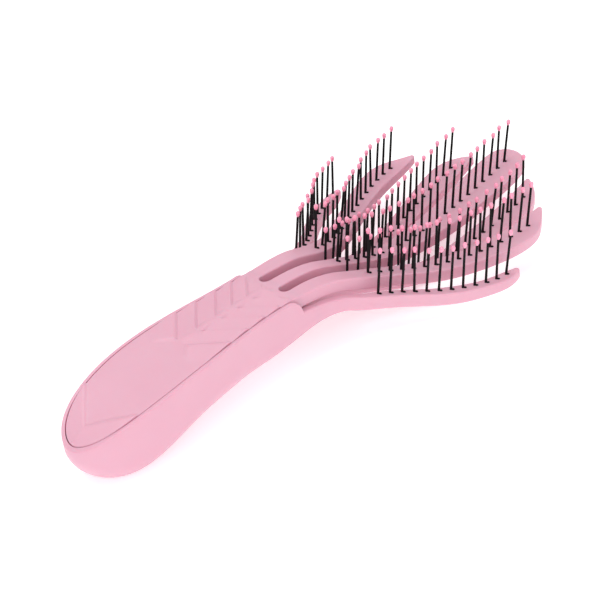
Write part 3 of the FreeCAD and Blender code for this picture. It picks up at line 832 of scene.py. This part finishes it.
def ball_tree():
    """Node group that sets a drop-shaped tip at the end of each point's bristle."""
    tree = bpy.data.node_groups.new("Ball Tip Row", "GeometryNodeTree")
    inputs = row_inputs(tree, ["Width", "Height", "Length", "Lean", "Tilt"])
    ball = node(tree, "GeometryNodeMeshUVSphere", Segments=12, Rings=8, Radius=1.0)
    place = tree.nodes.new("GeometryNodeInputPosition")
    apart = node(tree, "ShaderNodeSeparateXYZ", Vector=place.outputs[0])
    waist = node(tree, "ShaderNodeMapRange", Value=apart.outputs["Z"])
    for socket, value in (("From Min", -1.0), ("From Max", 1.0), ("To Min", DROP_LOW),
                          ("To Max", DROP_HIGH)):
        waist.inputs[socket].default_value = value
    half_width = maths(tree, "MULTIPLY", inputs["Width"], 0.5)
    across = maths(tree, "MULTIPLY", waist.outputs["Result"], half_width)
    x = maths(tree, "MULTIPLY", apart.outputs["X"], across)
    y = maths(tree, "MULTIPLY", apart.outputs["Y"], across)
    z = maths(tree, "MULTIPLY", apart.outputs["Z"], maths(tree, "MULTIPLY", inputs["Height"], 0.5))
    drop = node(tree, "GeometryNodeSetPosition", Geometry=ball.outputs["Mesh"],
                Position=combine(tree, x, y, maths(tree, "ADD", z, inputs["Length"])))
    stand_on_points(tree, inputs, drop.outputs["Geometry"])
    return tree


def row_object(name, finger, side, tree, values):
    """Run a node group on a finger's row of feet and keep the result as a plain mesh."""
    points = bpy.data.meshes.new(name + "_points")
    feet = finger.feet() * np.array([1.0, side, 1.0]) * MM
    points.from_pydata([tuple(foot) for foot in feet], [], [])
    maker = bpy.data.objects.new(name + "_points", points)
    bpy.context.scene.collection.objects.link(maker)
    modifier = maker.modifiers.new("Row", "NODES")
    modifier.node_group = tree
    for socket in tree.interface.items_tree:
        if socket.in_out == "INPUT" and socket.name in values:
            modifier[socket.identifier] = values[socket.name]
    graph = bpy.context.evaluated_depsgraph_get()
    mesh = bpy.data.meshes.new_from_object(maker.evaluated_get(graph))
    mesh.name = name
    maker.modifiers.remove(modifier)
    bpy.data.objects.remove(maker)
    bpy.data.meshes.remove(points)
    piece = bpy.data.objects.new(name, mesh)
    bpy.context.scene.collection.objects.link(piece)
    return piece


class BRUSH_OT_bristles(bpy.types.Operator):
    """Build each finger's single row of bristles"""

    bl_idname = "brush.bristles"
    bl_label = "Bristles"

    def execute(self, context):
        sizes = context.scene.brush_sizes
        tree = bristle_tree()
        for finger in FINGERS:
            for name, side in sides_of(finger):
                values = {"Radius": sizes.bristle_diameter / 2, "Length": sizes.bristle_length,
                          "Seat": sizes.bristle_seat, "Lean": sizes.bristle_lean,
                          "Tilt": sizes.bristle_tilt, "Seed": row_seed(sizes, name),
                          "Material": material_named("black bristle nylon")}
                piece = row_object(name + "_bristle_row", finger, side, tree, values)
                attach(piece, name + "_flexing_finger")
                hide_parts(name + "_bristles")
        return {"FINISHED"}


class BRUSH_OT_ball_tips(bpy.types.Operator):
    """Build the drop-shaped tips on each finger's bristles"""

    bl_idname = "brush.ball_tips"
    bl_label = "Ball Tips"

    def execute(self, context):
        sizes = context.scene.brush_sizes
        tree = ball_tree()
        for finger in FINGERS:
            for name, side in sides_of(finger):
                values = {"Width": sizes.ball_width, "Height": sizes.ball_height,
                          "Length": sizes.bristle_length, "Lean": sizes.bristle_lean,
                          "Tilt": sizes.bristle_tilt, "Seed": row_seed(sizes, name),
                          "Material": material_named("pink ball tip")}
                piece = row_object(name + "_ball_row", finger, side, tree, values)
                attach(piece, name + "_flexing_finger")
                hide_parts(name + "_ball_tips")
        return {"FINISHED"}


def row_seed(sizes, name):
    """The same seed for a row's bristles and its tips, and another one for each row."""
    return sizes.seed + sum(ord(letter) for letter in name)


# ---- stage -------------------------------------------------------------------------------
CAMERA_PLACE = (-0.34614, -0.39991, 0.38505)
CAMERA_FORWARD = (0.52840, 0.62321, -0.57654)
CAMERA_ROLL = 7.52            # degrees
CAMERA_LENS = 105.0           # millimetres
FLOOR_RADIUS = 6.0            # metres
FLOOR_GLOW = 0.36             # evens out the shadows, as a lit table does
WORLD_STRENGTH = 0.68
LIGHTS = (("key", (-0.85, -0.75, 0.62), 1.1, 4.3),      # name, place, size and power
          ("fill", (0.55, -1.0, 0.55), 1.1, 1.2),
          ("top", (-0.1, 0.3, 1.3), 1.3, 8.2))


class BRUSH_OT_stage(bpy.types.Operator):
    """Set the pale floor, the soft lights and the camera"""

    bl_idname = "brush.stage"
    bl_label = "Stage"

    def execute(self, context):
        scene = context.scene
        bm = bmesh.new()
        bmesh.ops.create_circle(bm, cap_ends=True, radius=FLOOR_RADIUS, segments=64)
        mesh = bpy.data.meshes.new("floor")
        bm.to_mesh(mesh)
        bm.free()
        material = bpy.data.materials.new("pale floor")
        material.use_nodes = True
        tree = material.node_tree
        shader = tree.nodes["Principled BSDF"]
        place = node(tree, "ShaderNodeTexCoord").outputs["Object"]
        mottle = node(tree, "ShaderNodeTexNoise", Vector=place, Scale=3.0, Detail=2.0)
        ramp = node(tree, "ShaderNodeValToRGB", Fac=mottle.outputs["Fac"])
        tone = context.scene.brush_colours.floor
        ramp.color_ramp.elements[0].color = (tone[0] * 0.99, tone[1] * 0.99, tone[2] * 0.99, 1)
        ramp.color_ramp.elements[1].color = (*tone, 1.0)
        tree.links.new(ramp.outputs["Color"], shader.inputs["Base Color"])
        shader.inputs["Roughness"].default_value = 0.9
        shader.inputs["Specular IOR Level"].default_value = 0.1
        shader.inputs["Emission Color"].default_value = (1.0, 1.0, 1.0, 1.0)
        shader.inputs["Emission Strength"].default_value = FLOOR_GLOW
        mesh.materials.append(material)
        floor = bpy.data.objects.new("floor", mesh)
        scene.collection.objects.link(floor)

        world = bpy.data.worlds.new("soft studio")
        world.use_nodes = True
        world.node_tree.nodes["Background"].inputs["Color"].default_value = (1.0, 1.0, 1.0, 1.0)
        world.node_tree.nodes["Background"].inputs["Strength"].default_value = WORLD_STRENGTH
        scene.world = world
        for name, place, size, power in LIGHTS:
            lamp = bpy.data.lights.new(name, "AREA")
            lamp.shape = "DISK"
            lamp.size = size
            lamp.energy = power
            light = bpy.data.objects.new(name, lamp)
            light.location = place
            light.rotation_euler = (-Vector(place)).to_track_quat("-Z", "Y").to_euler()
            scene.collection.objects.link(light)

        camera = bpy.data.objects.new("camera", bpy.data.cameras.new("camera"))
        camera.data.lens = CAMERA_LENS
        camera.data.sensor_width = 36.0
        camera.data.clip_start = 0.01
        camera.location = CAMERA_PLACE
        aim = Vector(CAMERA_FORWARD)
        turn = aim.to_track_quat("-Z", "Y").to_matrix()
        turn = turn @ Matrix.Rotation(-math.radians(CAMERA_ROLL), 3, "Z")
        camera.rotation_euler = turn.to_euler()
        scene.collection.objects.link(camera)
        scene.camera = camera
        scene.view_settings.view_transform = "Standard"
        return {"FINISHED"}


class BRUSH_PT_panel(bpy.types.Panel):
    """Lists the brush's pieces in the sidebar"""

    bl_idname = "BRUSH_PT_panel"
    bl_label = "Detangling Brush"
    bl_space_type = "VIEW_3D"
    bl_region_type = "UI"
    bl_category = "Detangling Brush"

    def draw(self, context):
        for operator in OPERATORS:
            self.layout.operator(operator.bl_idname)
        for group in (context.scene.brush_sizes, context.scene.brush_colours):
            for name in group.bl_rna.properties.keys():
                if name not in ("rna_type", "name"):
                    self.layout.prop(group, name)


OPERATORS = (BRUSH_OT_stage, BRUSH_OT_back_shell, BRUSH_OT_top_plate, BRUSH_OT_fingers,
             BRUSH_OT_bristles, BRUSH_OT_ball_tips)
CLASSES = (BrushSizes, BrushColours) + OPERATORS + (BRUSH_PT_panel,)


def register():
    for each in CLASSES:
        bpy.utils.register_class(each)
    bpy.types.Scene.brush_sizes = PointerProperty(type=BrushSizes)
    bpy.types.Scene.brush_colours = PointerProperty(type=BrushColours)


def unregister():
    del bpy.types.Scene.brush_sizes
    del bpy.types.Scene.brush_colours
    for each in reversed(CLASSES):
        bpy.utils.unregister_class(each)


def main():
    register()
    bpy.ops.brush.stage()
    bpy.ops.brush.back_shell()
    bpy.ops.brush.top_plate()
    bpy.ops.brush.fingers()
    bpy.ops.brush.bristles()
    bpy.ops.brush.ball_tips()


if __name__ == "__main__":
    main()
